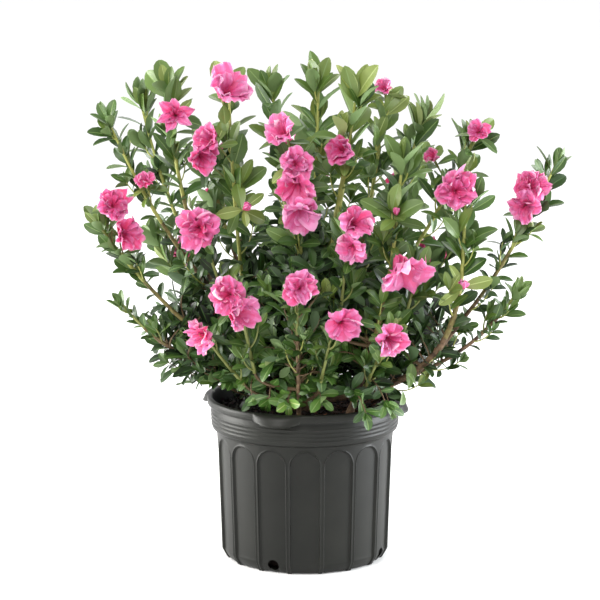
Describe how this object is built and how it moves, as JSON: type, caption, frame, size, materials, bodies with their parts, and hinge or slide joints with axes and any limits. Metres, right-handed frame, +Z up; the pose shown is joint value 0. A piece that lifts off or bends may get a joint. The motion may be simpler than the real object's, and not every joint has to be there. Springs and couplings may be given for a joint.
{
  "type": "potted azalea shrub",
  "caption": "Flowering evergreen azalea shrub in a fluted nursery pot, to stand on a patio or to plant out.",
  "frame": {"origin": "middle of the pot's flat underside", "axes": "+Z up along the pot's axis, +X to the right and +Y to the back, with the longest bough reaching out to the right"},
  "size_m": [0.6844, 0.4717, 0.717],
  "materials": {
    "pot_plastic": "semi-matte moulded charcoal plastic",
    "potting_mix": "moist dark bark chips and peat",
    "bark": "thin matte grey-brown bark",
    "foliage": "satin leathery evergreen leaves, paler underneath",
    "twig": "matte yellow-green young shoots",
    "blossom": "soft translucent pink ruffled petals"
  },
  "bodies": {
    "root": {"pot": "pot_plastic", "potting_mix": "potting_mix", "root_crown": "bark", "bough_back_centre": "bark", "bough_back_left": "bark", "bough_back_right": "bark", "bough_basal_front": "bark", "bough_bloom_crest": "bark", "bough_centre_crest": "bark", "bough_front_tall": "bark", "bough_inner_crest": "bark", "bough_left_arch": "bark", "bough_left_crest": "bark", "bough_left_low": "bark", "bough_left_outer": "bark", "bough_left_tall": "bark", "bough_right_back_crest": "bark", "bough_right_ball": "bark", "bough_right_crest": "bark", "bough_right_front": "bark", "bough_right_inner_crest": "bark", "bough_right_low": "bark", "bough_right_outer": "bark", "bough_right_tall": "bark", "foliage_back_centre": "foliage", "foliage_back_left": "foliage", "foliage_back_left_low": "foliage", "foliage_back_low": "foliage", "foliage_back_right": "foliage", "foliage_back_right_low": "foliage", "foliage_basal_front": "foliage", "foliage_bloom_crest": "foliage", "foliage_centre_crest": "foliage", "foliage_core_back": "foliage", "foliage_core_centre": "foliage", "foliage_core_left": "foliage", "foliage_core_right": "foliage", "foliage_front_far_right": "foliage", "foliage_front_left": "foliage", "foliage_front_right": "foliage", "foliage_front_tall": "foliage", "foliage_inner_crest": "foliage", "foliage_left_arch": "foliage", "foliage_left_bloom": "foliage", "foliage_left_crest": "foliage", "foliage_left_low": "foliage", "foliage_left_outer": "foliage", "foliage_left_tall": "foliage", "foliage_low_centre": "foliage", "foliage_low_left": "foliage", "foliage_low_right": "foliage", "foliage_right_back_crest": "foliage", "foliage_right_ball": "foliage", "foliage_right_crest": "foliage", "foliage_right_front": "foliage", "foliage_right_inner_crest": "foliage", "foliage_right_low": "foliage", "foliage_right_outer": "foliage", "foliage_right_tall": "foliage"}
  },
  "joints": []
}
